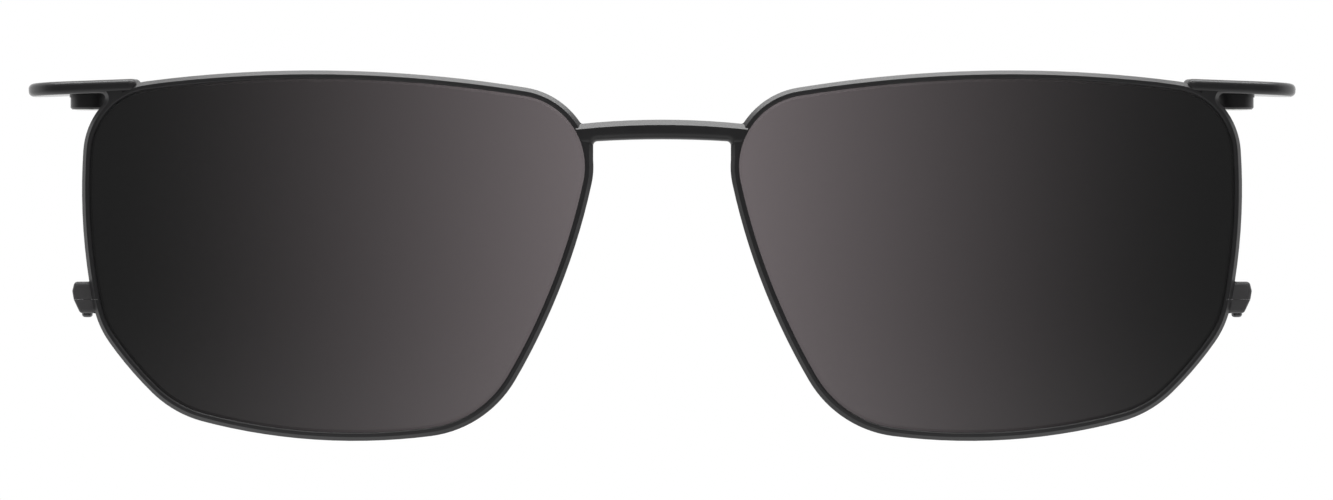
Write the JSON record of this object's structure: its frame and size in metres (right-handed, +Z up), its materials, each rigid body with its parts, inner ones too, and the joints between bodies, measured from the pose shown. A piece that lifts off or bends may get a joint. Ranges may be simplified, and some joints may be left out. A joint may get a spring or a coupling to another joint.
{
  "type": "magnetic sun clip for glasses",
  "caption": "Sun clip for glasses: dark lenses in thin matt black metal rims joined by a straight bridge bar, with side arms whose magnets hold it on the frame behind.",
  "frame": {"origin": "middle of the flat back of the bridge bar, on the clip's mid-plane", "axes": "+X to the right as seen from the front, +Y from the front towards the wearer, +Z up"},
  "size_m": [0.144, 0.0167, 0.0412],
  "materials": {
    "frame_metal": "fine matt black coat on thin metal wire",
    "cup_metal": "matt black coat on turned metal",
    "magnet_plating": "bright nickel plating on the disc magnets",
    "screw_steel": "dark satin steel",
    "lens_tint": "polished grey-brown polarising plastic"
  },
  "bodies": {
    "root": {"bridge": "frame_metal", "rim_left": "frame_metal", "rim_right": "frame_metal", "magnet_arm_left": "frame_metal", "magnet_arm_right": "frame_metal", "closing_block_upper_left": "frame_metal", "closing_block_upper_right": "frame_metal", "closing_block_lower_left": "frame_metal", "closing_block_lower_right": "frame_metal", "magnet_cup_left": "cup_metal", "magnet_cup_right": "cup_metal", "magnet_left": "magnet_plating", "magnet_right": "magnet_plating", "closing_screw_left": "screw_steel", "closing_screw_right": "screw_steel", "lens_left": "lens_tint", "lens_right": "lens_tint"}
  },
  "joints": []
}
